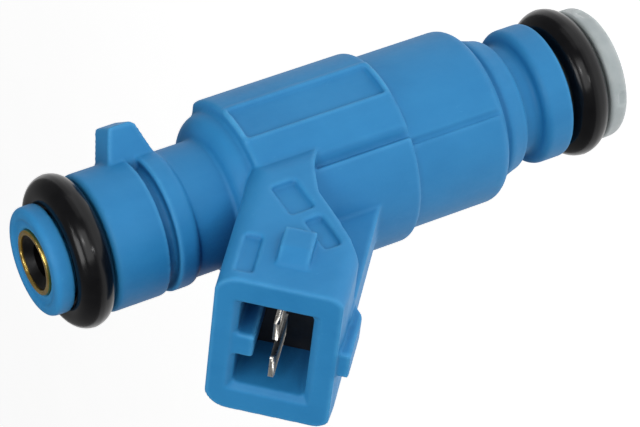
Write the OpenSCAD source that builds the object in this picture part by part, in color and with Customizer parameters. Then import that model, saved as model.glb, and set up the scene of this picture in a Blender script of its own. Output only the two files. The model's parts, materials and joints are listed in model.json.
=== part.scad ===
// Top-feed fuel injector with a moulded body, two seal rings and a two-blade connector.
// Millimetres. The origin is the centre of the nozzle end, and +Z points to the fuel inlet.
// The connector leans towards the inlet, in the XZ plane on the +X side.

/* [Body] */
// Length from the nozzle end to the inlet end
overall_length = 59.9; // [59.8:0.1:60.3]
// Radius of the thick part of the barrel
barrel_r = 9.2; // [9.1:0.05:9.4]
// Radius of the nozzle-side part of the barrel
lower_barrel_r = 8.45; // [8.4:0.05:8.6]
// Height of the step between the two parts of the barrel
barrel_step_z = 24.6; // [24:0.1:25.2]
// Height of the top of the thick barrel
barrel_top_z = 40.05; // [39.8:0.05:40.3]
// Radius of the plain neck below the clip groove
neck_r = 6.08; // [6:0.02:6.2]
// Radius of the two lands on either side of the clip groove
land_r = 6.55; // [6.4:0.05:6.7]
// Width of the clip groove
clip_groove_w = 1.05; // [0.9:0.05:1.2]
// Depth of the clip groove
clip_groove_depth = 1; // [0.8:0.1:1.2]

/* [Seals] */
// Thickness of each seal ring
seal_section = 3.53; // [3.5:0.01:3.56]
// Inside diameter of each seal ring
seal_inside_d = 7.52; // [7.48:0.02:7.56]
// Height of the middle of the inlet seal ring
inlet_seal_z = 56.3; // [56.2:0.05:56.4]
// Height of the middle of the nozzle seal ring
nozzle_seal_z = 3.85; // [3.8:0.05:4]
// Radius of the flange beside the inlet seal ring
inlet_flange_r = 5.15; // [5:0.05:5.3]
// Radius of the collar beside the nozzle seal ring
collar_r = 6.62; // [6.5:0.02:6.7]
// Radius of the end cap
cap_r = 6.45; // [6.3:0.05:6.6]

/* [Connector] */
// Lean of the connector from square, towards the inlet
connector_lean = 41; // [40:0.5:42]
// Distance from the injector axis to the middle of the mouth
mouth_x = 18.3; // [18:0.1:18.6]
// Height of the middle of the mouth
mouth_z = 45.75; // [45.5:0.05:46]
// Width of the socket across the blades
socket_w = 10.8; // [10.6:0.1:11]
// Height of the socket
socket_h = 6.6; // [6.4:0.1:6.8]
// Depth of the socket, down to the carrier
socket_depth = 6; // [5.5:0.1:6.5]
// Width of the lead-in round the mouth of the socket
lead_in = 0.55; // [0.4:0.05:0.6]
// Distance between the middles of the two blades
blade_pitch = 5; // [4.9:0.1:5.1]
// Width of each blade
blade_w = 2.8; // [2.6:0.1:2.9]
// Thickness of each blade
blade_t = 0.5; // [0.45:0.05:0.6]

/* [Valve] */
// Gap between the armature and the pole face when the valve is shut
armature_gap = 0.14; // [0.12:0.01:0.2]
// Radius of the valve ball
ball_r = 1.5; // [1.45:0.05:1.5]
// Radial clearance of the moving parts in their guides
guide_clearance = 0.04; // [0.03:0.01:0.05]
// Turns of the return spring
spring_turns = 9; // [7:1:10]

/* [Hidden] */

$fn = 96;
// Gap left between nested pieces
fit_gap = 0.02;
// Overlap of a cut past the face it opens
past = 1;

// Seals and the grooves they sit in
seal_r = seal_section / 2;
seal_mid_r = seal_inside_d / 2 + seal_r;
groove_floor_r = seal_inside_d / 2;
flange_z = inlet_seal_z + seal_r + 0.03;
groove_low_z = inlet_seal_z - seal_r - 0.1;
collar_face_z = nozzle_seal_z + seal_r + 0.7;
cap_flange_z = nozzle_seal_z - seal_r - 0.12;

// Heights down the outside of the body
clip_groove_z = 48.2;
land_low_z = 46.25;
shoulder_r = lower_barrel_r - 0.3;
saddle_back = 7.5;
shoulder_round = 1.85;
lower_end_z = 14.2;
lower_round = 1.2;
foot_r = 6.85;
foot_low_r = 6.5;
foot_round = 0.8;
foot_groove_r = 6.65;
foot_groove_z = 13.5;
foot_groove_w = 0.55;
foot_end_z = 11.1;

// Channels and recesses along the barrel
channel_turn = 53;
channel_w = 1.3;
channel_depth = 0.8;
lower_channel_turn = 45.8;
lower_channel_w = 0.8;
lower_channel_depth = 0.45;
recess_low_x = -2.25;
recess_w = 3.9;
recess_depth = 0.6;
recess_edge = 0.5;
recess_rim_w = 0.4;
recess_rim = 0.1;

// Support ring under the body
collar_top_z = 8.5;
ring_neck_r = 5.3;

// Inlet tube and filter
tube_r = 3.3;
tube_bore_r = 2.75;
tube_top_z = 56.4;
pole_r = 4.3;
pole_top_z = 30.2;
pole_tip_r = 3.34;
pole_tip_z = 21.5;
pole_face_z = 19.5;
spring_bore_r = 1.75;
filter_seat_z = 39.5;
brass_r = 3.1;
brass_bore_r = 2.6;
brass_low_z = 54.5;
inlet_recess_r = 4;
inlet_recess = 0.25;
brass_top_z = overall_length - 0.05;
cage_throat_r = 1.6;
cage_throat_z = 59;
cage_top_z = 59.65;
cage_mouth_r = 2.35;
cage_rib_t = 0.36;
cage_low_z = 43.5;
cage_ring_z = 53.5;
mesh_r = 2.02;
mesh_t = 0.12;
sleeve_low_z = 26.5;
sleeve_top_z = 33.5;

// Coil and magnet circuit
shell_r = 7.4;
shell_t = 0.45;
shell_low_z = 16.1;
shell_floor = 1.1;
shell_top_z = pole_top_z;
bobbin_bore_r = pole_r + fit_gap;
bobbin_wall = 0.55;
bobbin_flange = 0.8;
bobbin_r = shell_r - shell_t - fit_gap;
bobbin_low_z = shell_low_z + shell_floor;
bobbin_top_z = 28.7;
winding_r = bobbin_r - 0.35;

// Valve group
outlet_r = 2.95;
outlet_depth = 1;
plate_z = 1.08;
body_bore_r = pole_tip_r + guide_clearance - 0.04;
armature_r = body_bore_r - guide_clearance;
body_r = pole_r;
body_step_z = 9.1;
body_low_r = 3.28;
body_low_bore_r = 2.6;
body_low_z = 1.3;
body_top_z = 18.7;
armature_low_z = 11.9;
armature_top_z = pole_face_z - armature_gap;
spring_pocket_z = 16.5;
needle_r = 0.9;
needle_bore_r = 0.55;
needle_top_z = 14.9;
ball_z = 3.9;
seat_low_z = 1.5;
seat_top_z = 4.6;
seat_gap = 0.02;
seat_cone_z = ball_z - (ball_r + seat_gap) * sqrt(2);
seat_hole_r = 0.4;
disc_low_z = 5.6;
disc_t = 0.6;

// Connector, in its own frame: Z out of the mouth, X towards the nozzle side
shroud_low = -5.35;
shroud_high = 6.1;
arm_half_w = 8.65;
arm_low_r = 2.3;
arm_high_r = 1.7;
arm_high = 6.3;
arm_root_x = 3;
arm_root_r = 3.5;
web_half_w = 2.5;
web_high = 6.45;
socket_low = -3;
rib_half_w = 1.33;
rib_rise = 1.6;
rib_back = 0.2;
carrier_t = 1.5;
blade_offset = 0.4;
blade_recess = 0.4;
strip_w = 1.6;
terminal_bend = 17.1;
terminal_low_z = bobbin_top_z;

// Points on an arc, from one angle to another
function arc(x, y, r, from, to, steps = 8) = [
    for (i = [0 : steps])
        let (angle = from + (to - from) * i / steps)
        [x + r * cos(angle), y + r * sin(angle)]
];

// Ring between two radii and two heights
module ring(outer, inner, low, high) {
    difference() {
        translate([0, 0, low]) cylinder(r = outer, h = high - low);
        translate([0, 0, low - past]) cylinder(r = inner, h = high - low + 2 * past);
    }
}

// Solid disc between two heights
module disc(r, low, high) {
    translate([0, 0, low]) cylinder(r = r, h = high - low);
}

// Places its children in the connector's frame
module at_mouth() {
    translate([mouth_x, 0, mouth_z]) rotate([0, 90 - connector_lean, 0]) children();
}

// Box with rounded edges along its depth, in the connector's frame; r_low and r_high round its two sides
module rounded_block(low_x, high_x, half_w, low_z, high_z, r_low, r_high) {
    translate([0, 0, low_z]) linear_extrude(high_z - low_z) union() {
        translate([low_x + r_low, -half_w]) square([high_x - low_x - r_low - r_high, 2 * half_w]);
        translate([low_x, r_low - half_w]) square([r_low + 0.1, 2 * half_w - 2 * r_low]);
        translate([high_x - r_high - 0.1, r_high - half_w]) square([r_high + 0.1, 2 * half_w - 2 * r_high]);
        for (y = [r_low - half_w, half_w - r_low]) translate([low_x + r_low, y]) circle(r_low);
        for (y = [r_high - half_w, half_w - r_high]) translate([high_x - r_high, y]) circle(r_high);
    }
}

// Outline of the moulded body, turned about the axis
module body_outline() {
    rotate_extrude() polygon(concat(
        [[0, foot_end_z]],
        arc(foot_low_r - foot_round, foot_end_z + foot_round, foot_round, -90, 0, 6),
        [[foot_r, foot_groove_z - 0.5], [foot_r, foot_groove_z - 0.1], [foot_groove_r, foot_groove_z]],
        [[foot_groove_r, foot_groove_z + foot_groove_w]],
        arc(lower_barrel_r - lower_round, lower_end_z + lower_round, lower_round, -90, 0, 8),
        [[lower_barrel_r, barrel_top_z - 0.3], [lower_barrel_r - 0.3, barrel_top_z]],
        arc(shoulder_r - shoulder_round, barrel_top_z, shoulder_round, 0, 90, 10),
        [[neck_r, barrel_top_z + shoulder_round + 0.2], [neck_r, land_low_z - 0.25]],
        [[land_r - 0.1, land_low_z]],
        arc(land_r - 0.25, land_low_z + 0.35, 0.25, -45, 0, 3),
        [[land_r, clip_groove_z], [land_r - clip_groove_depth, clip_groove_z]],
        [[land_r - clip_groove_depth, clip_groove_z + clip_groove_w]],
        [[land_r, clip_groove_z + clip_groove_w]],
        arc(land_r - 0.5, groove_low_z - 0.5, 0.5, 0, 90, 6),
        [[groove_floor_r, groove_low_z], [groove_floor_r, flange_z]],
        arc(inlet_flange_r - 0.2, flange_z + 0.2, 0.2, -90, 0, 4),
        arc(inlet_flange_r - 0.6, overall_length - 0.6, 0.6, 0, 90, 6),
        [[inlet_recess_r + 0.15, overall_length], [inlet_recess_r, overall_length - inlet_recess]],
        [[0, overall_length - inlet_recess]]
    ));
}

// Thick saddle around the barrel, open at the back
module saddle() {
    edge = 0.4;
    difference() {
        rotate_extrude() polygon(concat(
            [[shell_r, barrel_step_z], [barrel_r - edge, barrel_step_z]],
            arc(barrel_r - edge, barrel_step_z + edge, edge, -90, 0, 5),
            arc(barrel_r - edge, barrel_top_z - edge, edge, 0, 90, 5),
            [[shell_r, barrel_top_z]]
        ));
        translate([-20 - saddle_back, -15, 0]) cube([20, 30, 70]);
    }
}

// Low raised rim round each recess of the saddle
module recess_rims() {
    low_z = barrel_step_z + recess_edge - recess_rim_w;
    length = barrel_top_z - barrel_step_z - 2 * recess_edge + 2 * recess_rim_w;
    for (side = [0, 1]) mirror([0, side, 0]) intersection() {
        ring(barrel_r + recess_rim, shell_r + 1, low_z, low_z + length);
        translate([recess_low_x - recess_rim_w, 0, low_z]) cube([recess_w + 2 * recess_rim_w, 12, length]);
    }
}

// Locating tab that stands across the clip groove
module tab() {
    tab_angle = 135;
    tab_t = 3.6;
    tab_reach = 9.55;
    root = land_r - 1.5;
    rotate([0, 0, tab_angle]) rotate([90, 0, 0]) translate([0, 0, -tab_t / 2]) linear_extrude(tab_t) polygon([
        [root, 45.7], [neck_r + 0.1, 46.25], [tab_reach - 0.35, 47.25], [tab_reach, 47.7],
        [tab_reach, 49.75], [tab_reach - 0.15, 49.9], [land_r, 50.85], [root, 51.1]
    ]);
}

// Side view of the arm that carries the connector, in the connector's frame
module arm_side() {
    polygon([
        [-2.5, -24], [-5.4, -14.5], [shroud_low, 0], [shroud_high, 0], [6.75, -5.2], [6.25, -6.1],
        [3.9, -9.3], [1.2, -12.6], [0.2, -15.6], [-0.2, -20]
    ]);
}

// Plan of the arm, rounded where it leaves the barrel
module arm_plan() {
    round_y = arm_half_w - arm_root_r;
    linear_extrude(70) union() {
        translate([arm_root_x, -round_y]) square([30, 2 * round_y]);
        translate([arm_root_x + arm_root_r, -arm_half_w]) square([30, 2 * arm_half_w]);
        for (side = [-1, 1]) translate([arm_root_x + arm_root_r, side * round_y]) circle(arm_root_r);
    }
}

// Central web behind the connector
module web_side() {
    polygon([[-2.5, -24], [-4.5, -14.5], [-4.5, -4], [web_high, -4], [web_high, -18.6], [2, -24]]);
}

// Turns a side view into a slab across the injector
module slab(half_w) {
    rotate([90, 0, 0]) translate([0, 0, -half_w]) linear_extrude(2 * half_w) children();
}

// Wedge that a plug's clip snaps over, on the flat top of the arm
module clip_wedge() {
    wedge_w = 2.9;
    wedge_rise = 1;
    wedge_low_x = -0.6;
    wedge_back_z = -6.6;
    for (side = [0, 1]) mirror([0, side, 0]) translate([wedge_low_x, arm_half_w, wedge_back_z])
        rotate([0, 90, 0]) linear_extrude(wedge_w) polygon([
            [-3.85, -0.5], [-3.85, 0.2], [-2.4, wedge_rise], [0, wedge_rise], [0, -0.5]
        ]);
}

// Lug on the nozzle side of the shroud
module side_lug() {
    lug_half_w = 1.5;
    translate([0, -lug_half_w, 0]) rotate([90, 0, 0]) mirror([0, 0, 1]) linear_extrude(2 * lug_half_w)
        polygon([[5, -7.2], [6.3, -6.7], [7.2, -5.6], [7.35, -5.2], [7.3, -0.3], [5, -0.3]]);
}

// Shallow pockets in both flat faces of the arm, seen along the injector
module arm_pockets() {
    pocket_depth = 0.5;
    for (side = [0, 1]) mirror([0, side, 0]) {
        translate([7.5, arm_half_w - pocket_depth, 37.9]) cube([3.7, 2, 2.4]);
        translate([12.3, arm_half_w - pocket_depth, 37.9]) cube([3.8, 2, 1.7]);
        at_mouth() translate([-3.95, arm_half_w - pocket_depth, -5.7]) cube([1.6, 2, 4.45]);
    }
}

// Shallow plain recess on each side of the saddle, with a straight channel beside it
module barrel_marks() {
    length = barrel_top_z - barrel_step_z - 2 * recess_edge;
    for (side = [0, 1]) mirror([0, side, 0]) {
        translate([recess_low_x, barrel_r - recess_depth, barrel_step_z + recess_edge])
            cube([recess_w, 2, length]);
        channel(channel_turn, barrel_r, channel_w, channel_depth, barrel_step_z - past, barrel_top_z + past);
    }
}

// A narrower channel, carried on along the thinner part of the barrel
module lower_channel() {
    for (side = [0, 1]) mirror([0, side, 0]) channel(
        lower_channel_turn, lower_barrel_r, lower_channel_w, lower_channel_depth,
        lower_end_z - past, barrel_step_z
    );
}

// Straight channel along the barrel, with one steep side and one sloping side
module channel(turn, r, w, depth, low, high) {
    steep = 0.1;
    rotate([0, 0, turn]) translate([0, 0, low]) linear_extrude(high - low) polygon([
        [r - depth, steep - w / 2], [r + past, -w / 2], [r + past, w / 2], [r, w / 2]
    ]);
}

// Funnel that widens the socket at its mouth
module mouth_funnel() {
    high = socket_low + socket_h;
    half_w = socket_w / 2;
    wide = lead_in + past;
    intersection() {
        slab(half_w + wide) polygon([
            [socket_low, -lead_in], [high, -lead_in], [high + wide, past], [socket_low - wide, past]
        ]);
        translate([socket_low - wide, 0, 0]) rotate([90, 0, 90]) linear_extrude(socket_h + 2 * wide) polygon([
            [-half_w, -lead_in], [half_w, -lead_in], [half_w + wide, past], [-half_w - wide, past]
        ]);
    }
}

// Rib on the socket's wall that keys the plug
module keying_rib() {
    translate([socket_low - past, -rib_half_w, -socket_depth + fit_gap])
        cube([rib_rise + past, 2 * rib_half_w, socket_depth - fit_gap - rib_back]);
}

// Inside of the socket and the seat of the carrier below it, with the keying rib left standing
module socket_space() {
    floor_z = -socket_depth - carrier_t;
    difference() {
        union() {
            rounded_block(socket_low, socket_low + socket_h, socket_w / 2, floor_z, past, 0.5, 0.5);
            mouth_funnel();
        }
        keying_rib();
    }
}

// Strip of one terminal, from the coil to its blade tip
module terminal_shape(side, gap = 0) {
    y = side * blade_pitch / 2;
    lean = connector_lean;
    bend_x = mouth_x - terminal_bend * cos(lean) + blade_offset * sin(lean);
    bend_z = mouth_z - terminal_bend * sin(lean) - blade_offset * cos(lean);
    tip = blade_w * 0.37;
    wide = blade_w / 2 + gap;
    slim = strip_w / 2 + gap;
    root_z = -socket_depth - carrier_t - 1;
    at_mouth() translate([blade_offset - blade_t / 2 - gap, y, 0]) rotate([90, 0, 90])
        linear_extrude(blade_t + 2 * gap) polygon([
            [-wide, root_z], [-wide, -blade_recess - 0.6], [-tip - gap, -blade_recess],
            [tip + gap, -blade_recess], [wide, -blade_recess - 0.6], [wide, root_z],
            [slim, root_z], [slim, -terminal_bend], [-slim, -terminal_bend], [-slim, root_z]
        ]);
    translate([bend_x - blade_t / 2 - gap, y - slim, terminal_low_z])
        cube([blade_t + 2 * gap, 2 * slim, bend_z - terminal_low_z + gap]);
}

// Arm that carries the connector, with its web
module arm() {
    difference() {
        intersection() {
            union() {
                at_mouth() intersection() {
                    slab(arm_half_w) arm_side();
                    rounded_block(
                        shroud_low - 0.05, arm_high, arm_half_w, -26, past, arm_low_r, arm_high_r
                    );
                }
                at_mouth() slab(web_half_w) web_side();
            }
            arm_plan();
        }
        disc(4, -past, 33);
    }
}

module housing() {
    color([0.21, 0.55, 0.78]) difference() {
        union() {
            difference() {
                body_outline();
                lower_channel();
            }
            difference() {
                union() {
                    saddle();
                    recess_rims();
                }
                barrel_marks();
            }
            tab();
            arm();
            at_mouth() clip_wedge();
            at_mouth() side_lug();
        }
        at_mouth() socket_space();
        arm_pockets();
        for (side = [-1, 1]) terminal_shape(side, 0.01);
        disc(brass_r + fit_gap, tube_top_z, overall_length + past);
        disc(tube_r + fit_gap, pole_top_z - past, tube_top_z + fit_gap);
        disc(shell_r + fit_gap, shell_low_z, shell_top_z + fit_gap);
        disc(body_r + fit_gap, foot_end_z - past, shell_low_z + past);
    }
}

module support_ring() {
    color([0.21, 0.55, 0.78]) difference() {
        rotate_extrude() polygon(concat(
            [[0, collar_face_z], [collar_r - 0.15, collar_face_z], [collar_r, collar_face_z + 0.15]],
            arc(collar_r - 0.8, collar_top_z, 0.8, 0, 90, 8),
            [[ring_neck_r + 0.3, collar_top_z + 0.8], [ring_neck_r, collar_top_z + 1.1]],
            [[ring_neck_r, foot_end_z], [0, foot_end_z]]
        ));
        disc(body_low_r + fit_gap, collar_face_z - past, foot_end_z + past);
        disc(body_r + fit_gap, body_step_z, foot_end_z + past);
    }
}

module end_cap() {
    notch_depth = 0.25;
    color([0.82, 0.84, 0.82]) difference() {
        rotate_extrude() polygon(concat(
            [[0, 0]],
            arc(cap_r - 0.7, 0.7, 0.7, -90, 0, 6),
            [[cap_r, cap_flange_z - 0.2], [cap_r - 0.2, cap_flange_z], [groove_floor_r, cap_flange_z]],
            [[groove_floor_r, collar_face_z], [0, collar_face_z]]
        ));
        disc(outlet_r, -past, outlet_depth + fit_gap);
        disc(body_low_r + fit_gap, outlet_depth, collar_face_z + past);
        for (turn = [19 : 90 : 289]) rotate([0, 0, turn]) translate([cap_r - notch_depth, -0.7, -past])
            cube([2, 1.4, 1.2 + past]);
    }
}

module seal_ring(z) {
    color([0.05, 0.05, 0.05]) translate([0, 0, z]) rotate_extrude() translate([seal_mid_r, 0]) circle(seal_r);
}

module inlet_seal_ring() {
    seal_ring(inlet_seal_z);
}

module nozzle_seal_ring() {
    seal_ring(nozzle_seal_z);
}

module filter_collar() {
    color([0.8, 0.62, 0.25]) union() {
        ring(brass_r, brass_bore_r, tube_top_z + fit_gap, brass_top_z);
        ring(tube_bore_r - fit_gap, brass_bore_r, brass_low_z, tube_top_z + 0.5);
    }
}

module filter_cage() {
    rib_r = mesh_r - mesh_t - 2 * fit_gap;
    color([0.2, 0.2, 0.2]) union() {
        difference() {
            ring(brass_bore_r - fit_gap, cage_throat_r, cage_ring_z, cage_top_z);
            translate([0, 0, cage_throat_z]) cylinder(
                r1 = cage_throat_r, r2 = cage_mouth_r + 0.01, h = cage_top_z - cage_throat_z + 0.01
            );
        }
        disc(mesh_r, cage_low_z, cage_low_z + 0.8);
        for (turn = [0 : 90 : 270]) rotate([0, 0, turn])
            translate([rib_r - cage_rib_t, -0.25, cage_low_z + 0.3])
                cube([cage_rib_t, 0.5, cage_ring_z - cage_low_z + 0.1]);
        for (z = [46.5, 50]) ring(rib_r, rib_r - cage_rib_t, z, z + 0.5);
    }
}

module filter_mesh() {
    color([0.75, 0.75, 0.7]) ring(mesh_r, mesh_r - mesh_t, cage_low_z + 0.8, cage_ring_z);
}

module inlet_tube() {
    color([0.7, 0.71, 0.73]) difference() {
        union() {
            disc(tube_r, pole_top_z - past, tube_top_z);
            disc(pole_r, pole_tip_z, pole_top_z);
            disc(pole_tip_r, pole_face_z, pole_tip_z + past);
        }
        disc(tube_bore_r, filter_seat_z + 1, tube_top_z + past);
        translate([0, 0, filter_seat_z]) cylinder(r1 = spring_bore_r, r2 = tube_bore_r, h = 1.001);
        disc(spring_bore_r, pole_face_z - past, filter_seat_z + past);
    }
}

module adjusting_sleeve() {
    color([0.6, 0.6, 0.62]) difference() {
        ring(spring_bore_r - fit_gap, 1.1, sleeve_low_z, sleeve_top_z);
        translate([0, -0.2, sleeve_low_z - past]) cube([3, 0.4, sleeve_top_z - sleeve_low_z + 2 * past]);
    }
}

// Points of one round section of the spring wire
function spring_section(t, mid_r, wire_r, low, high, sides) = [
    for (k = [0 : sides - 1])
        let (a = 360 * k / sides, reach = mid_r + wire_r * cos(a), turn = 360 * spring_turns * t)
        [reach * cos(turn), reach * sin(turn), low + (high - low) * t + wire_r * sin(a)]
];

module return_spring() {
    wire_r = 0.16;
    mid_r = 1.4;
    sides = 8;
    steps = spring_turns * 20;
    low = spring_pocket_z + wire_r + 0.01;
    high = sleeve_low_z - wire_r - 0.01;
    points = [for (i = [0 : steps]) each spring_section(i / steps, mid_r, wire_r, low, high, sides)];
    walls = [
        for (i = [0 : steps - 1], k = [0 : sides - 1])
            let (a = i * sides + k, b = i * sides + (k + 1) % sides)
            [a, b, b + sides, a + sides]
    ];
    first = [for (k = [sides - 1 : -1 : 0]) k];
    last = [for (k = [0 : sides - 1]) steps * sides + k];
    color([0.6, 0.6, 0.62]) polyhedron(points, concat(walls, [first, last]));
}

module coil_bobbin() {
    color([0.15, 0.15, 0.16]) union() {
        ring(bobbin_bore_r + bobbin_wall, bobbin_bore_r, bobbin_low_z, bobbin_top_z);
        ring(bobbin_r, bobbin_bore_r, bobbin_low_z, bobbin_low_z + bobbin_flange);
        ring(bobbin_r, bobbin_bore_r, bobbin_top_z - bobbin_flange, bobbin_top_z);
    }
}

module coil_winding() {
    color([0.72, 0.4, 0.2]) ring(
        winding_r, bobbin_bore_r + bobbin_wall + fit_gap,
        bobbin_low_z + bobbin_flange + fit_gap, bobbin_top_z - bobbin_flange - fit_gap
    );
}

module magnet_shell() {
    color([0.66, 0.67, 0.7]) union() {
        ring(shell_r, shell_r - shell_t, shell_low_z, shell_top_z);
        ring(shell_r, body_r + fit_gap, shell_low_z, shell_low_z + shell_floor);
    }
}

module flux_washer() {
    color([0.6, 0.61, 0.64]) difference() {
        ring(bobbin_r, pole_r + fit_gap, bobbin_top_z, shell_top_z);
        translate([4.6, -4, bobbin_top_z - past]) cube([5, 8, shell_top_z - bobbin_top_z + 2 * past]);
    }
}

module spacer_ring() {
    color([0.78, 0.78, 0.76]) ring(pole_r, pole_tip_r + fit_gap, body_top_z, pole_tip_z);
}

module valve_body() {
    color([0.74, 0.75, 0.77]) difference() {
        union() {
            disc(body_low_r, body_low_z, body_step_z + past);
            disc(body_r, body_step_z, body_top_z);
        }
        disc(body_bore_r, body_step_z + 1.6, body_top_z + past);
        disc(body_low_bore_r, body_low_z - past, body_step_z + 2);
    }
}

module valve_seat() {
    cone_tip_r = 0.3;
    ball_way_r = ball_r + guide_clearance;
    color([0.7, 0.7, 0.72]) difference() {
        disc(body_low_bore_r - fit_gap, seat_low_z, seat_top_z);
        disc(seat_hole_r, seat_low_z - past, seat_top_z);
        translate([0, 0, seat_cone_z + cone_tip_r])
            cylinder(r1 = cone_tip_r, r2 = ball_way_r, h = ball_way_r - cone_tip_r);
        disc(ball_way_r, seat_cone_z + ball_way_r - 0.001, seat_top_z + past);
        for (turn = [0 : 72 : 288]) rotate([0, 0, turn]) translate([ball_r + 0.15, 0, seat_top_z - 1.1])
            cylinder(r = 0.4, h = 2);
    }
}

module guide_disc() {
    color([0.68, 0.68, 0.7]) difference() {
        ring(body_low_bore_r - fit_gap, needle_r + guide_clearance, disc_low_z, disc_low_z + disc_t);
        for (turn = [45 : 90 : 315]) rotate([0, 0, turn]) translate([1.75, 0, disc_low_z - past])
            cylinder(r = 0.4, h = disc_t + 2 * past);
    }
}

module orifice_plate() {
    color([0.72, 0.72, 0.74]) difference() {
        disc(3.2, plate_z, body_low_z);
        for (turn = [0 : 90 : 270]) rotate([0, 0, turn]) translate([0.9, 0, 0]) cylinder(r = 0.14, h = 3);
    }
}

module armature() {
    color([0.55, 0.56, 0.58]) difference() {
        disc(armature_r, armature_low_z, armature_top_z);
        disc(needle_r, armature_low_z - past, needle_top_z);
        disc(0.6, needle_top_z - past, spring_pocket_z + past);
        disc(spring_bore_r, spring_pocket_z, armature_top_z + past);
        for (turn = [0 : 90 : 270]) rotate([0, 0, turn]) translate([2.5, 0, armature_low_z - past])
            cylinder(r = 0.45, h = armature_top_z - armature_low_z + 2 * past);
    }
}

module needle_tube() {
    color([0.8, 0.8, 0.82]) difference() {
        ring(needle_r, needle_bore_r, ball_z + ball_r / 2, needle_top_z);
        translate([0, 0, ball_z]) sphere(ball_r);
        translate([0, 0, 7.2]) rotate([0, 90, 0]) translate([0, 0, -2]) cylinder(r = 0.3, h = 4);
    }
}

module valve_ball() {
    color([0.85, 0.85, 0.87]) translate([0, 0, ball_z]) sphere(ball_r);
}

module terminal_carrier() {
    color([0.12, 0.12, 0.13]) difference() {
        at_mouth() rounded_block(
            socket_low + fit_gap, socket_low + socket_h - fit_gap, socket_w / 2 - fit_gap,
            fit_gap - socket_depth - carrier_t, -socket_depth, 0.5, 0.5
        );
        for (side = [-1, 1]) terminal_shape(side, 0.01);
    }
}

module terminal_left() {
    color([0.78, 0.78, 0.75]) terminal_shape(-1);
}

module terminal_right() {
    color([0.78, 0.78, 0.75]) terminal_shape(1);
}

housing();
support_ring();
end_cap();
inlet_seal_ring();
nozzle_seal_ring();
filter_collar();
filter_cage();
filter_mesh();
inlet_tube();
adjusting_sleeve();
return_spring();
coil_bobbin();
coil_winding();
magnet_shell();
flux_washer();
spacer_ring();
valve_body();
valve_seat();
guide_disc();
orifice_plate();
armature();
needle_tube();
valve_ball();
terminal_carrier();
terminal_left();
terminal_right();
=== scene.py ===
"""Looks of a port fuel injector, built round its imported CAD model. Metres, +Z towards the fuel inlet."""
import json
import math

import bmesh
import bpy
from mathutils import Matrix, Vector

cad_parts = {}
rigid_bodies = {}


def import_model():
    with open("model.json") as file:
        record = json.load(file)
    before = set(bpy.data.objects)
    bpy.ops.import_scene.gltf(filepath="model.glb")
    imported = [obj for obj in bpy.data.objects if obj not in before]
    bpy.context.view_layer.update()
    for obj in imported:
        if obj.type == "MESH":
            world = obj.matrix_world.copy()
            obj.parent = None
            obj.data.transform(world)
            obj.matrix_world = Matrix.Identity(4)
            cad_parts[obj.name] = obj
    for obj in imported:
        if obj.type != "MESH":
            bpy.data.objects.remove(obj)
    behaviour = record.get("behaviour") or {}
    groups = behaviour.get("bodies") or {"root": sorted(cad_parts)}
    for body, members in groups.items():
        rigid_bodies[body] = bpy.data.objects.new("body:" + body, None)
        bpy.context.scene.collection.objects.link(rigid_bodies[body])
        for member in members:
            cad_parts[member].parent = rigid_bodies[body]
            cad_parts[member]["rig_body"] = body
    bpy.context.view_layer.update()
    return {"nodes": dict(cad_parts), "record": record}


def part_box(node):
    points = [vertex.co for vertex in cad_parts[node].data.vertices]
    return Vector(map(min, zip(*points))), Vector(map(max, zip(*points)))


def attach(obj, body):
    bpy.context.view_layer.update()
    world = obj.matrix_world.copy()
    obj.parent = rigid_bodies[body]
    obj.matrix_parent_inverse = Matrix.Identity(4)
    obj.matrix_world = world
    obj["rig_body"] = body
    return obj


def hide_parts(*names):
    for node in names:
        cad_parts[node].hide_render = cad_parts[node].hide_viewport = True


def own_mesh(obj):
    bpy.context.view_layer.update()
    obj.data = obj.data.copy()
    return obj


MM = 0.001

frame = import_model()
nodes = frame["nodes"]
record = frame["record"]


# ---------------------------------------------------------------- meshes

def add_object(name, mesh):
    """Links a new object that shows mesh."""
    piece = bpy.data.objects.new(name, mesh)
    bpy.context.scene.collection.objects.link(piece)
    return piece


def welded_copy(node, name):
    """A copy of a CAD node in millimetres, with its split corners joined and its stored normals dropped."""
    work = bmesh.new()
    work.from_mesh(nodes[node].data)
    bmesh.ops.remove_doubles(work, verts=work.verts, dist=2e-7)
    bmesh.ops.scale(work, vec=(1 / MM, 1 / MM, 1 / MM), verts=work.verts)
    mesh = bpy.data.meshes.new(name)
    work.to_mesh(mesh)
    work.free()
    return add_object(name, mesh)


def bake_modifiers(piece):
    """Applies the piece's modifiers and brings it back from millimetres to metres."""
    shown = bpy.context.evaluated_depsgraph_get()
    mesh = bpy.data.meshes.new_from_object(piece.evaluated_get(shown))
    piece.modifiers.clear()
    piece.data = mesh
    mesh.transform(Matrix.Scale(MM, 4))
    mesh.shade_smooth()
    return piece


def moulded(node, name, cell, passes, share):
    """A moulded plastic piece: the CAD node with every edge rounded softly. cell is in millimetres."""
    piece = welded_copy(node, name)
    skin = piece.modifiers.new("skin", "REMESH")
    skin.mode = "VOXEL"
    skin.voxel_size = cell
    skin.use_smooth_shade = True
    soft = piece.modifiers.new("soft", "SMOOTH")
    soft.factor = 0.5
    soft.iterations = passes
    if share < 1:
        thin = piece.modifiers.new("thin", "DECIMATE")
        thin.ratio = share
    return bake_modifiers(piece)


def machined(node, name, width, segments):
    """A stamped or turned metal piece: the CAD node with its sharp edges broken. width is in millimetres."""
    piece = welded_copy(node, name)
    edge = piece.modifiers.new("edge", "BEVEL")
    edge.width = width
    edge.segments = segments
    edge.limit_method = "ANGLE"
    edge.angle_limit = math.radians(35)
    edge.use_clamp_overlap = True
    edge.harden_normals = True
    return bake_modifiers(piece)


RING_STEPS = 160
SECTION_STEPS = 64
FLASH = 0.018 * MM


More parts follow.
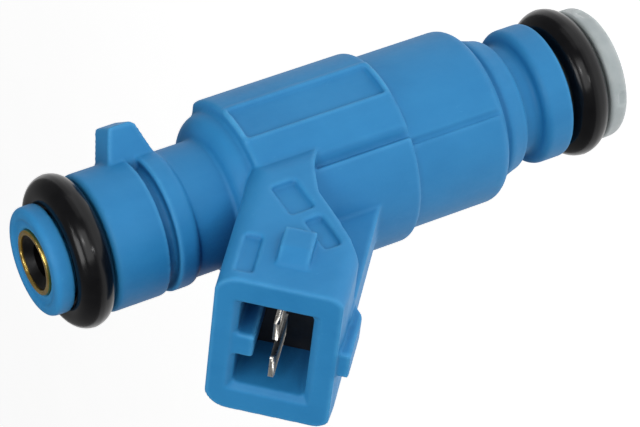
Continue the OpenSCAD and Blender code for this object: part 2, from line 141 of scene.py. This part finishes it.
def ring_section(section):
    """Points of the round section, out from its middle and up. Two carry the flash line of the mould."""
    points = []
    for j in range(SECTION_STEPS):
        tilt = 2 * math.pi * j / SECTION_STEPS
        ridge = FLASH if j in (0, SECTION_STEPS // 2) else 0.0
        reach = section - FLASH + ridge
        points.append((reach * math.cos(tilt), reach * math.sin(tilt)))
    return points


def ring_of_rubber(node, name):
    """An O-ring that fills the CAD node's box, with the fine flash lines of its mould."""
    low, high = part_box(node)
    section = (high.z - low.z) / 2
    middle = (high.x - low.x) / 2 - section
    centre = (high.z + low.z) / 2
    profile = ring_section(section)
    work = bmesh.new()
    loops = []
    for i in range(RING_STEPS):
        turn = 2 * math.pi * i / RING_STEPS
        loop = []
        for out, rise in profile:
            r = middle + out
            loop.append(work.verts.new((r * math.cos(turn), r * math.sin(turn), centre + rise)))
        loops.append(loop)
    for i in range(RING_STEPS):
        here, there = loops[i], loops[(i + 1) % RING_STEPS]
        for j in range(SECTION_STEPS):
            k = (j + 1) % SECTION_STEPS
            work.faces.new((here[j], there[j], there[k], here[k]))
    mesh = bpy.data.meshes.new(name)
    work.to_mesh(mesh)
    work.free()
    mesh.shade_smooth()
    return add_object(name, mesh)


# ---------------------------------------------------------------- material nodes

def linear(red, green, blue):
    """A colour given as display values from 0 to 255."""
    def one(value):
        share = value / 255
        if share <= 0.04045:
            return share / 12.92
        return ((share + 0.055) / 1.055) ** 2.4
    return (one(red), one(green), one(blue), 1.0)


class Surface:
    """One material and its node tree, with short calls for the nodes that every material here uses."""

    def __init__(self, name):
        self.material = bpy.data.materials.new(name)
        self.material.use_nodes = True
        self.tree = self.material.node_tree
        self.shader = self.tree.nodes["Principled BSDF"]
        self.coordinates = self.tree.nodes.new("ShaderNodeTexCoord").outputs["Object"]
        self.last_normal = None

    def set(self, **values):
        """Sets the shader's own sockets: coat_weight=0.5 sets Coat Weight."""
        for key, value in values.items():
            socket = next(s for s in self.shader.inputs if s.name.lower().replace(" ", "_") == key)
            socket.default_value = value

    def link(self, output, socket):
        """Feeds a socket of the shader."""
        self.tree.links.new(output, self.shader.inputs[socket])

    def placed(self, size, stretch=(1, 1, 1)):
        """The object's own coordinates, scaled so that one unit is size metres."""
        node = self.tree.nodes.new("ShaderNodeMapping")
        node.inputs["Scale"].default_value = [s / size for s in stretch]
        self.tree.links.new(self.coordinates, node.inputs["Vector"])
        return node.outputs["Vector"]

    def noise(self, size, detail=3.0, rough=0.55, stretch=(1, 1, 1)):
        """Soft random clouds, about size metres across."""
        node = self.tree.nodes.new("ShaderNodeTexNoise")
        node.inputs["Scale"].default_value = 1.0
        node.inputs["Detail"].default_value = detail
        node.inputs["Roughness"].default_value = rough
        self.tree.links.new(self.placed(size, stretch), node.inputs["Vector"])
        return node.outputs["Fac"]

    def specks(self, size):
        """Small scattered cells, 0 at each cell's middle."""
        node = self.tree.nodes.new("ShaderNodeTexVoronoi")
        node.inputs["Scale"].default_value = 1.0
        self.tree.links.new(self.placed(size), node.inputs["Vector"])
        return node.outputs["Distance"]

    def waves(self, size, along="Z", stretch=(1, 1, 1), distortion=0.0):
        """Bands across one direction, such as tool marks or turns of wire."""
        node = self.tree.nodes.new("ShaderNodeTexWave")
        node.bands_direction = along
        node.inputs["Scale"].default_value = 1.0
        node.inputs["Distortion"].default_value = distortion
        self.tree.links.new(self.placed(size, stretch), node.inputs["Vector"])
        return node.outputs["Fac"]

    def openness(self, reach, inside):
        """How free a point is within reach metres, from 1 down. Inside finds edges, outside finds corners."""
        node = self.tree.nodes.new("ShaderNodeAmbientOcclusion")
        node.samples = 8
        node.inside = inside
        node.only_local = True
        node.inputs["Distance"].default_value = reach
        return node.outputs["AO"]

    def edges(self, reach, share=1.0):
        """From 0 on a flat face to share on a convex edge."""
        return self.spread(self.openness(reach, True), 0.55, 0.985, share, 0.0)

    def corners(self, reach, share=1.0):
        """From 0 on an open face to share in a corner or a groove."""
        return self.spread(self.openness(reach, False), 0.4, 0.95, share, 0.0)

    def spread(self, value, low, high, to_low=0.0, to_high=1.0):
        """Maps value from low..high to to_low..to_high, clamped."""
        node = self.tree.nodes.new("ShaderNodeMapRange")
        node.inputs["From Min"].default_value = low
        node.inputs["From Max"].default_value = high
        node.inputs["To Min"].default_value = to_low
        node.inputs["To Max"].default_value = to_high
        self.tree.links.new(value, node.inputs["Value"])
        return node.outputs["Result"]

    def times(self, first, second):
        """Multiplies a node's output by a number or by another output."""
        node = self.tree.nodes.new("ShaderNodeMath")
        node.operation = "MULTIPLY"
        self.tree.links.new(first, node.inputs[0])
        if isinstance(second, (int, float)):
            node.inputs[1].default_value = second
        else:
            self.tree.links.new(second, node.inputs[1])
        return node.outputs["Value"]

    def blend(self, share, first, second):
        """Mixes two colours, each a value or another node's output."""
        node = self.tree.nodes.new("ShaderNodeMix")
        node.data_type = "RGBA"
        self.tree.links.new(share, node.inputs["Factor"])
        for colour, socket in ((first, node.inputs[6]), (second, node.inputs[7])):
            if isinstance(colour, tuple):
                socket.default_value = colour
            else:
                self.tree.links.new(colour, socket)
        return node.outputs[2]

    def bump(self, height, depth):
        """Adds relief of depth metres on top of the relief so far."""
        node = self.tree.nodes.new("ShaderNodeBump")
        node.inputs["Distance"].default_value = depth
        self.tree.links.new(height, node.inputs["Height"])
        if self.last_normal is not None:
            self.tree.links.new(self.last_normal, node.inputs["Normal"])
        self.last_normal = node.outputs["Normal"]
        self.link(self.last_normal, "Normal")


# ---------------------------------------------------------------- materials

def blue_plastic():
    """Glass-filled nylon in light blue: satin, faintly mottled, with painted shade in recesses and corners,
    and paler edges that are partly rubbed wear and partly a painted highlight.
    """
    s = Surface("body_plastic")
    mottle = s.spread(s.noise(6 * MM, 4), 0.35, 0.65)
    flow = s.spread(s.noise(1.4 * MM, 3, 0.6, (1, 1, 0.3)), 0.3, 0.7)
    colour = s.blend(mottle, linear(31, 116, 170), linear(37, 122, 176))
    colour = s.blend(s.times(flow, 0.3), colour, linear(43, 128, 181))
    # Painted shade: deep recesses such as the connector socket turn towards a deep blue.
    painted_recess_shade = s.spread(s.openness(9 * MM, False), 0.15, 0.5, 0.9, 0.0)
    colour = s.blend(painted_recess_shade, colour, linear(2, 44, 96))
    # Painted shade: corners and grooves turn a darker blue.
    colour = s.blend(s.corners(0.8 * MM, 0.4), colour, linear(4, 56, 110))
    # Paler convex edges: partly rubbed wear, partly a painted edge highlight.
    wear_and_edge_highlight = s.times(s.edges(0.5 * MM), s.spread(s.noise(1.5 * MM, 3), 0.3, 0.7, 0.5, 0.7))
    colour = s.blend(wear_and_edge_highlight, colour, linear(80, 162, 210))
    scuff = s.times(s.spread(s.noise(0.35 * MM, 2, 0.5, (1, 1, 0.45)), 0.68, 0.78), 0.15)
    colour = s.blend(s.times(scuff, s.spread(s.noise(4 * MM, 2), 0.45, 0.6)), colour, linear(84, 158, 200))
    s.link(colour, "Base Color")
    s.link(s.spread(s.noise(0.5 * MM, 4), 0.25, 0.75, 0.52, 0.62), "Roughness")
    s.set(specular_ior_level=0.28, subsurface_weight=0.08, subsurface_scale=0.0005)
    s.set(subsurface_radius=(0.25, 0.7, 1.0))
    s.bump(s.noise(0.16 * MM, 3), 0.005 * MM)
    s.bump(s.noise(1.5 * MM, 2), 0.015 * MM)
    return s.material


def cap_nylon():
    """Natural nylon, milky and slightly see-through."""
    s = Surface("cap_nylon")
    cloud = s.spread(s.noise(2.2 * MM, 4), 0.3, 0.7)
    colour = s.blend(cloud, linear(149, 158, 160), linear(165, 172, 173))
    # Paler on convex edges: a painted edge highlight.
    colour = s.blend(s.edges(0.4 * MM, 0.5), colour, linear(194, 199, 198))
    s.link(colour, "Base Color")
    s.link(s.spread(s.noise(0.6 * MM, 4), 0.25, 0.75, 0.30, 0.46), "Roughness")
    s.set(specular_ior_level=0.5, subsurface_weight=0.45, subsurface_scale=0.0012)
    s.set(subsurface_radius=(1.0, 1.0, 0.95))
    s.bump(s.noise(0.25 * MM, 3), 0.006 * MM)
    return s.material


def seal_rubber():
    """Black fluorocarbon rubber with a light film of oil."""
    s = Surface("seal_rubber")
    cloud = s.spread(s.noise(1.6 * MM, 4), 0.35, 0.7)
    colour = s.blend(cloud, linear(5, 5, 7), linear(11, 11, 13))
    dust = s.times(s.spread(s.specks(0.9 * MM), 0.0, 0.05, 0.6, 0.0), s.spread(s.noise(3 * MM, 2), 0.5, 0.6))
    colour = s.blend(dust, colour, linear(60, 60, 62))
    s.link(colour, "Base Color")
    s.link(s.spread(s.noise(0.9 * MM, 5), 0.3, 0.7, 0.17, 0.23), "Roughness")
    s.set(specular_ior_level=0.24)
    s.bump(s.noise(0.6 * MM, 2), 0.001 * MM)
    return s.material


def metal(name, pale, dark, rough, grain, turned=None, relief=0.003, wear=None):
    """A bare metal: tint that drifts between two colours, fine scratches, and tool marks if it is turned."""
    s = Surface(name)
    tint = s.spread(s.noise(1.5 * MM, 4), 0.3, 0.7)
    colour = s.blend(tint, pale, dark)
    if wear is not None:
        colour = s.blend(s.edges(0.12 * MM, 0.9), colour, wear)
    s.link(colour, "Base Color")
    scratch = s.noise(0.12 * MM, 3, 0.6, grain)
    s.link(s.spread(scratch, 0.25, 0.75, rough[0], rough[1]), "Roughness")
    s.set(metallic=1.0)
    s.bump(scratch, relief * MM)
    if turned is not None:
        s.bump(s.waves(turned * MM, "Z", distortion=0.4), 0.004 * MM)
    return s.material


def plastic(name, pale, dark, rough, gloss=0.5):
    """A plain engineering plastic that hides inside."""
    s = Surface(name)
    s.link(s.blend(s.spread(s.noise(2 * MM, 4), 0.3, 0.7), pale, dark), "Base Color")
    s.link(s.spread(s.noise(0.6 * MM, 3), 0.3, 0.7, rough[0], rough[1]), "Roughness")
    s.set(specular_ior_level=gloss)
    s.bump(s.noise(0.3 * MM, 3), 0.008 * MM)
    return s.material


def filter_gauze():
    """Woven gauze of the inlet filter."""
    s = Surface("filter_gauze")
    warp = s.waves(0.35 * MM, "Z")
    weft = s.waves(0.35 * MM, "DIAGONAL", (1, 1, 0))
    thread = s.times(warp, weft)
    s.link(s.blend(s.spread(thread, 0.1, 0.6), linear(120, 116, 104), linear(205, 200, 186)), "Base Color")
    s.link(s.spread(thread, 0.0, 1.0, 0.65, 0.5), "Roughness")
    s.bump(thread, 0.05 * MM)
    return s.material


def copper_winding():
    """Enamelled copper wire laid turn by turn."""
    s = Surface("winding_copper")
    turns = s.waves(1.1 * MM, "Z", distortion=0.15)
    tint = s.spread(s.noise(1.5 * MM, 3), 0.3, 0.7)
    copper = s.blend(tint, linear(186, 96, 48), linear(206, 118, 66))
    s.link(s.blend(s.spread(turns, 0.0, 0.35), linear(92, 40, 18), copper), "Base Color")
    s.link(s.spread(s.noise(0.4 * MM, 3), 0.3, 0.7, 0.24, 0.36), "Roughness")
    s.set(metallic=0.85, coat_weight=0.5, coat_roughness=0.15)
    s.bump(turns, 0.08 * MM)
    return s.material


def pale_floor():
    """A plain pale sheet."""
    s = Surface("floor_paper")
    cloud = s.spread(s.noise(30 * MM, 2), 0.3, 0.7)
    s.link(s.blend(cloud, (0.93, 0.93, 0.93, 1), (0.95, 0.95, 0.95, 1)), "Base Color")
    s.set(roughness=0.9, specular_ior_level=0.1, emission_strength=0.66, emission_color=(1, 1, 1, 1))
    return s.material


def steels():
    """The bare steels of the inner pieces."""
    along = (1, 1, 0.08)
    across = (1, 1, 6)
    return {
        "tube_steel": metal(
            "tube_steel", linear(176, 176, 174), linear(146, 146, 146), (0.28, 0.42), along),
        "spring_steel": metal(
            "spring_steel", linear(150, 150, 152), linear(112, 112, 116), (0.24, 0.36), along),
        "magnet_steel": metal(
            "magnet_steel", linear(160, 160, 156), linear(128, 128, 126), (0.34, 0.5), (1, 1, 5), turned=0.7),
        "stainless": metal(
            "stainless", linear(190, 190, 188), linear(164, 164, 164), (0.2, 0.32), across, turned=0.6),
        "ground_steel": metal(
            "ground_steel", linear(205, 205, 206), linear(184, 184, 186), (0.08, 0.18), along, relief=0.001),
    }


def contacts_and_collar():
    """The metals that show outside, worn bright on their edges."""
    return {
        "brass": metal(
            "brass", linear(204, 174, 96), linear(170, 140, 66), (0.18, 0.34), (1, 1, 6),
            turned=0.5, wear=linear(236, 214, 140)),
        "tinned_blade": metal(
            "tinned_blade", linear(206, 203, 196), linear(176, 172, 164), (0.22, 0.4), (1, 1, 0.2),
            wear=linear(232, 230, 224)),
    }


def make_materials():
    """One material for each slot of the record."""
    return {
        "body_plastic": blue_plastic(),
        "cap_nylon": cap_nylon(),
        "seal_rubber": seal_rubber(),
        "filter_plastic": plastic("filter_plastic", linear(3, 3, 4), linear(6, 6, 6), (0.35, 0.5), 0.15),
        "filter_gauze": filter_gauze(),
        # Black plastic whose near-black tone is partly painted shade for the floor of the connector socket.
        "bobbin_plastic": plastic("bobbin_plastic", linear(9, 9, 11), linear(15, 15, 17), (0.45, 0.6)),
        "winding_copper": copper_winding(),
        **contacts_and_collar(),
        **steels(),
    }


# ---------------------------------------------------------------- pieces


def stand_in(piece, node, slot):
    """The piece rides where the CAD node does, and takes its place."""
    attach(piece, nodes[node]["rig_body"])
    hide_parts(node)
    piece.data.materials.clear()
    piece.data.materials.append(materials[slot])
    return piece


def build_pieces():
    """The pieces that take the place of a CAD node."""
    stand_in(moulded("housing", "moulded_body", 0.17, 3, 0.34), "housing", "body_plastic")
    stand_in(moulded("support_ring", "support_ring_skin", 0.15, 3, 1), "support_ring", "body_plastic")
    stand_in(moulded("end_cap", "end_cap_skin", 0.15, 3, 1), "end_cap", "cap_nylon")
    stand_in(ring_of_rubber("inlet_seal_ring", "inlet_o_ring"), "inlet_seal_ring", "seal_rubber")
    stand_in(ring_of_rubber("nozzle_seal_ring", "nozzle_o_ring"), "nozzle_seal_ring", "seal_rubber")
    stand_in(machined("filter_collar", "filter_collar_rim", 0.12, 3), "filter_collar", "brass")
    stand_in(machined("terminal_left", "blade_left", 0.1, 3), "terminal_left", "tinned_blade")
    stand_in(machined("terminal_right", "blade_right", 0.1, 3), "terminal_right", "tinned_blade")


def build_spring():
    """The return spring: a welded copy of its CAD node, in its place and on a mesh of its own."""
    spring = bake_modifiers(welded_copy("return_spring", "spring_wire"))
    stand_in(spring, "return_spring", "spring_steel")
    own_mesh(spring)


def dress_cad_nodes():
    """Gives every CAD node that still shows its own material."""
    for part in record["subparts"]:
        node = nodes[part["node"]]
        node.data.materials.clear()
        node.data.materials.append(materials[part["material_slot"]])


# ---------------------------------------------------------------- stage

CAMERA_PLACE = Vector((0.19283, 0.24033, 0.16312))
CAMERA_AIM = Vector((0.00491, -0.00070, 0.03287))
CAMERA_ROLL = math.radians(109.29)
CAMERA_LENS = 203.16
FLOOR_HEIGHT = -0.15


def camera_axes():
    """The camera's right, up and backward directions."""
    forward = (CAMERA_AIM - CAMERA_PLACE).normalized()
    level_up = (Vector((0, 0, 1)) - forward * forward.z).normalized()
    level_right = forward.cross(level_up)
    up = level_up * math.cos(CAMERA_ROLL) + level_right * math.sin(CAMERA_ROLL)
    return forward.cross(up), up, -forward


def add_camera():
    right, up, back = camera_axes()
    data = bpy.data.cameras.new("camera")
    data.lens = CAMERA_LENS
    data.sensor_width = 36
    data.clip_start = 0.01
    data.clip_end = 20
    camera = bpy.data.objects.new("camera", data)
    bpy.context.scene.collection.objects.link(camera)
    camera.matrix_world = Matrix((right, up, back)).transposed().to_4x4()
    camera.location = CAMERA_PLACE
    bpy.context.scene.camera = camera


def add_softbox(name, direction, distance, size, watts):
    """A square lamp that faces the middle of the object from one direction."""
    data = bpy.data.lights.new(name, "AREA")
    data.shape = "SQUARE"
    data.size = size
    data.energy = watts
    lamp = bpy.data.objects.new(name, data)
    bpy.context.scene.collection.objects.link(lamp)
    lamp.location = CAMERA_AIM + direction.normalized() * distance
    lamp.rotation_mode = "QUATERNION"
    lamp.rotation_quaternion = direction.to_track_quat("Z", "Y")


def add_lights():
    """Three soft lamps, and three small ones that draw the streaks on the seal rings."""
    right, up, back = camera_axes()
    add_softbox("front", back - up * 0.05 - right * 0.1, 0.45, 0.35, 0.96)
    add_softbox("left", back * 0.6 - right * 0.75 - up * 0.3, 0.45, 0.2, 0.72)
    add_softbox("top", up + back * 0.5, 0.4, 0.3, 0.15)
    add_softbox("spark_left", back * 0.96 - right * 0.3, 0.5, 0.02, 0.17)
    add_softbox("spark_right", back * 0.93 + right * 0.36 - up * 0.05, 0.5, 0.02, 0.12)
    add_softbox("spark_side", back * 0.56 - right * 0.83, 0.5, 0.02, 0.05)


def add_world():
    """Even white light from all round."""
    world = bpy.data.worlds.new("studio")
    world.use_nodes = True
    sky = world.node_tree.nodes["Background"]
    sky.inputs["Color"].default_value = (1, 1, 1, 1)
    sky.inputs["Strength"].default_value = 0.24
    bpy.context.scene.world = world
    bpy.context.scene.view_settings.view_transform = "Standard"


def add_floor():
    """A wide flat sheet below the object."""
    work = bmesh.new()
    bmesh.ops.create_grid(work, x_segments=1, y_segments=1, size=3.0)
    mesh = bpy.data.meshes.new("floor")
    work.to_mesh(mesh)
    work.free()
    floor = add_object("floor", mesh)
    floor.location = (0, 0, FLOOR_HEIGHT)
    floor.data.materials.append(pale_floor())


add_camera()
materials = make_materials()
build_pieces()
build_spring()
dress_cad_nodes()
add_floor()
add_lights()
add_world()
